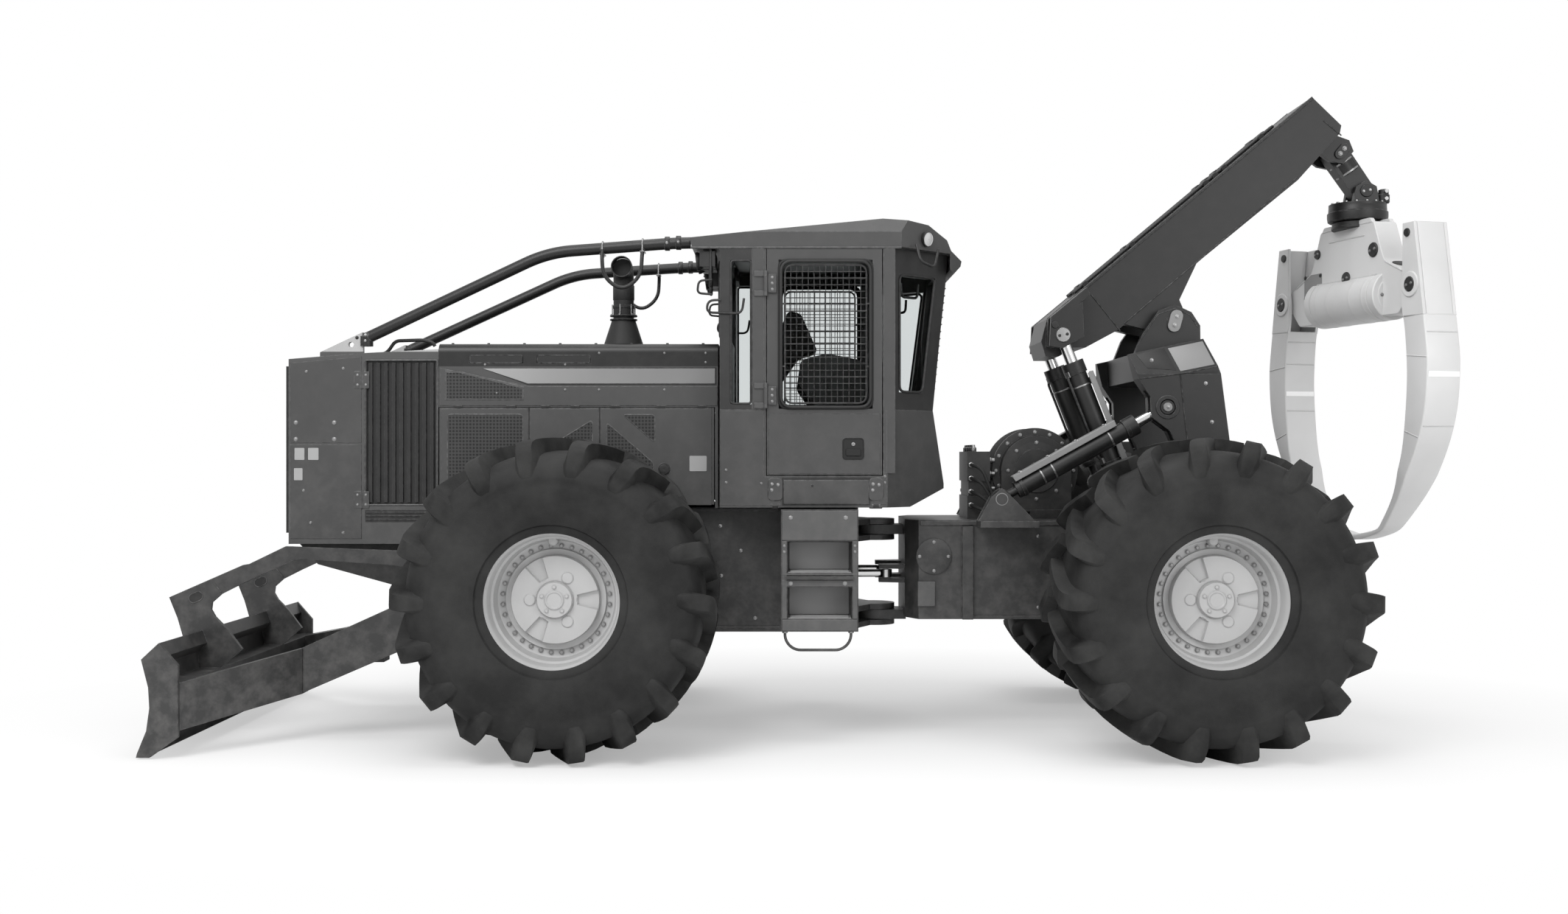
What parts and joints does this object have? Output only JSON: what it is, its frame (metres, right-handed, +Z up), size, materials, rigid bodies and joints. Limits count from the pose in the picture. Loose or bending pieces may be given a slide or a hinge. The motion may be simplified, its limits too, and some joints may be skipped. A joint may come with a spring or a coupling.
{
  "type": "articulated grapple skidder",
  "caption": "Articulated four-wheel forestry skidder with cab, stacking blade, rear arch, boom and a hanging two-tong log grapple.",
  "frame": {"origin": "on the ground under the middle of the overall box", "axes": "+X forward, towards the blade; +Y to the machine's left; +Z up"},
  "size_m": [8.2922, 3.3, 4.244],
  "materials": {
    "tyre_rubber": "matte black rubber",
    "rim_paint": "light grey paint",
    "frame_paint": "mid grey paint",
    "body_paint": "mid grey paint",
    "boom_paint": "dark grey paint",
    "grapple_paint": "pale paint",
    "guard_black": "black paint",
    "stack_black": "heat-black steel",
    "dark_parts": "black",
    "rod_chrome": "ground chrome",
    "window_glass": "clear",
    "seat_cloth": "dark woven cloth"
  },
  "bodies": {
    "front_frame": {"front_chassis": "frame_paint", "front_axle": "frame_paint", "engine": "dark_parts", "radiator": "dark_parts", "nose": "body_paint", "front_grille": "guard_black", "side_screens": "guard_black", "hood": "body_paint", "hood_doors": "body_paint", "exhaust_stack": "stack_black", "guard_bars": "boom_paint", "cab_lower": "body_paint", "cab_frame": "body_paint", "cab_roof": "body_paint", "cab_glass": "window_glass", "seat_base": "dark_parts", "seat_pads": "seat_cloth", "side_steps": "frame_paint", "console": "dark_parts", "work_lamps": "dark_parts"},
    "rear_frame": {"rear_chassis": "frame_paint", "rear_axle": "frame_paint", "winch": "dark_parts", "valve_block": "dark_parts"},
    "wheel_front_left": {"tyre_front_left": "tyre_rubber", "rim_front_left": "rim_paint"},
    "wheel_front_right": {"tyre_front_right": "tyre_rubber", "rim_front_right": "rim_paint"},
    "wheel_rear_left": {"tyre_rear_left": "tyre_rubber", "rim_rear_left": "rim_paint"},
    "wheel_rear_right": {"tyre_rear_right": "tyre_rubber", "rim_rear_right": "rim_paint"},
    "door_left": {"door_left": "body_paint", "door_glass_left": "window_glass", "door_guard_left": "guard_black"},
    "door_right": {"door_right": "body_paint", "door_glass_right": "window_glass", "door_guard_right": "guard_black"},
    "blade": {"blade": "frame_paint"},
    "blade_barrels": {"blade_barrels": "boom_paint"},
    "blade_rods": {"blade_rods": "rod_chrome"},
    "arch": {"arch": "boom_paint"},
    "arch_barrels": {"arch_barrels": "boom_paint"},
    "arch_rods": {"arch_rods": "rod_chrome"},
    "boom": {"boom": "boom_paint"},
    "boom_barrels": {"boom_barrels": "boom_paint"},
    "boom_rods": {"boom_rods": "rod_chrome"},
    "steer_barrel_left": {"steer_barrel_left": "boom_paint"},
    "steer_barrel_right": {"steer_barrel_right": "boom_paint"},
    "steer_rod_left": {"steer_rod_left": "rod_chrome"},
    "steer_rod_right": {"steer_rod_right": "rod_chrome"},
    "hang_link": {"hang_link": "boom_paint"},
    "crosshead": {"crosshead": "boom_paint"},
    "grapple_head": {"grapple_head": "grapple_paint"},
    "tong_front": {"tong_front": "grapple_paint"},
    "tong_rear": {"tong_rear": "grapple_paint"}
  },
  "joints": [
    {"name": "articulation", "type": "hinge", "parent": "front_frame", "child": "rear_frame", "pos_m": [-0.4599, 0, 1.04], "axis": [0, 0, 1], "range_deg": [-45, 45]},
    {"name": "roll_front_left", "type": "hinge", "parent": "front_frame", "child": "wheel_front_left", "pos_m": [1.5281, 1.21, 0.97], "axis": [0, 1, 0], "continuous": true},
    {"name": "roll_front_right", "type": "hinge", "parent": "front_frame", "child": "wheel_front_right", "pos_m": [1.5281, -1.21, 0.97], "axis": [0, 1, 0], "continuous": true},
    {"name": "roll_rear_left", "type": "hinge", "parent": "rear_frame", "child": "wheel_rear_left", "pos_m": [-2.4169, 1.21, 0.97], "axis": [0, 1, 0], "continuous": true},
    {"name": "roll_rear_right", "type": "hinge", "parent": "rear_frame", "child": "wheel_rear_right", "pos_m": [-2.4169, -1.21, 0.97], "axis": [0, 1, 0], "continuous": true},
    {"name": "door_swing_left", "type": "hinge", "parent": "front_frame", "child": "door_left", "pos_m": [0.2771, 0.814, 2.45], "axis": [0, 0, -1], "range_deg": [0, 90]},
    {"name": "door_swing_right", "type": "hinge", "parent": "front_frame", "child": "door_right", "pos_m": [0.2771, -0.814, 2.45], "axis": [0, 0, 1], "range_deg": [0, 90]},
    {"name": "blade_lift", "type": "hinge", "parent": "front_frame", "child": "blade", "pos_m": [2.1201, 0, 0.955], "axis": [0, -1, 0], "range_deg": [0, 18]},
    {"name": "blade_barrel_swing", "type": "hinge", "parent": "front_frame", "child": "blade_barrels", "pos_m": [2.3901, 0, 1.11], "axis": [0, -1, 0], "range_deg": [0, 21.83]},
    {"name": "blade_rod_slide", "type": "slide", "parent": "blade_barrels", "child": "blade_rods", "axis": [0.6834, 0, -0.73], "range_m": [-0.0894, 0]},
    {"name": "arch_tilt", "type": "hinge", "parent": "rear_frame", "child": "arch", "pos_m": [-2.6199, 0, 1.49], "axis": [0, 1, 0], "range_deg": [-50, 0]},
    {"name": "arch_barrel_swing", "type": "hinge", "parent": "rear_frame", "child": "arch_barrels", "pos_m": [-1.2499, 0, 1.55], "axis": [0, 1, 0], "range_deg": [-9.77, 0]},
    {"name": "arch_rod_slide", "type": "slide", "parent": "arch_barrels", "child": "arch_rods", "axis": [-0.8744, 0, 0.4852], "range_m": [0, 0.5544]},
    {"name": "boom_lower", "type": "hinge", "parent": "arch", "child": "boom", "pos_m": [-2.4499, 0, 2.73], "axis": [0, -1, 0], "range_deg": [0, 55]},
    {"name": "boom_barrel_swing", "type": "hinge", "parent": "arch", "child": "boom_barrels", "pos_m": [-2.0799, 0, 1.64], "axis": [0, -1, 0], "range_deg": [0, 16.44]},
    {"name": "boom_rod_slide", "type": "slide", "parent": "boom_barrels", "child": "boom_rods", "axis": [0.3659, 0, 0.9307], "range_m": [0, 0.5974]},
    {"name": "link_swing", "type": "hinge", "parent": "boom", "child": "hang_link", "pos_m": [-3.6399, 0, 3.905], "axis": [0, -1, 0], "range_deg": [-55, 0]},
    {"name": "crosshead_swing", "type": "hinge", "parent": "hang_link", "child": "crosshead", "pos_m": [-3.8149, 0, 3.64], "axis": [0, 1, 0], "range_deg": [0, 50]},
    {"name": "grapple_turn", "type": "hinge", "parent": "crosshead", "child": "grapple_head", "pos_m": [-3.7939, 0, 3.45], "axis": [0, 0, 1], "continuous": true},
    {"name": "tong_swing_front", "type": "hinge", "parent": "grapple_head", "child": "tong_front", "pos_m": [-3.60548, -0.70319, 2.934], "axis": [-0.9659, -0.2588, 0], "range_deg": [0, 55]},
    {"name": "tong_swing_rear", "type": "hinge", "parent": "grapple_head", "child": "tong_rear", "pos_m": [-3.98232, 0.70319, 2.934], "axis": [-0.9659, -0.2588, 0], "range_deg": [-55, 0]},
    {"name": "steer_barrel_swing_left", "type": "hinge", "parent": "front_frame", "child": "steer_barrel_left", "pos_m": [0.3301, 0.26, 1.04], "axis": [0, 0, 1], "range_deg": [-1.86, 1.86]},
    {"name": "steer_rod_slide_left", "type": "slide", "parent": "steer_barrel_left", "child": "steer_rod_left", "axis": [-0.9986, -0.0526, 0], "range_m": [-0.1571, 0.1571]},
    {"name": "steer_barrel_swing_right", "type": "hinge", "parent": "front_frame", "child": "steer_barrel_right", "pos_m": [0.3301, -0.26, 1.04], "axis": [0, 0, 1], "range_deg": [-1.86, 1.86]},
    {"name": "steer_rod_slide_right", "type": "slide", "parent": "steer_barrel_right", "child": "steer_rod_right", "axis": [-0.9986, 0.0526, 0], "range_m": [-0.1571, 0.1571]}
  ],
  "couplings": [
    {"joint": "blade_barrel_swing", "follows": "blade_lift", "ratio": 1.2118},
    {"joint": "blade_rod_slide", "follows": "blade_lift", "m_per_rad": -0.28305},
    {"joint": "arch_barrel_swing", "follows": "arch_tilt", "ratio": 0.19497},
    {"joint": "arch_rod_slide", "follows": "arch_tilt", "m_per_rad": -0.63474},
    {"joint": "boom_barrel_swing", "follows": "boom_lower", "ratio": 0.29851},
    {"joint": "boom_rod_slide", "follows": "boom_lower", "m_per_rad": 0.62179},
    {"joint": "link_swing", "follows": "boom_lower", "ratio": -1},
    {"joint": "crosshead_swing", "follows": "arch_tilt", "ratio": -1},
    {"joint": "tong_swing_rear", "follows": "tong_swing_front", "ratio": -1},
    {"joint": "steer_barrel_swing_left", "follows": "articulation", "ratio": 0.04083},
    {"joint": "steer_rod_slide_left", "follows": "articulation", "m_per_rad": 0.19937},
    {"joint": "steer_barrel_swing_right", "follows": "articulation", "ratio": 0.04083},
    {"joint": "steer_rod_slide_right", "follows": "articulation", "m_per_rad": -0.19937}
  ]
}
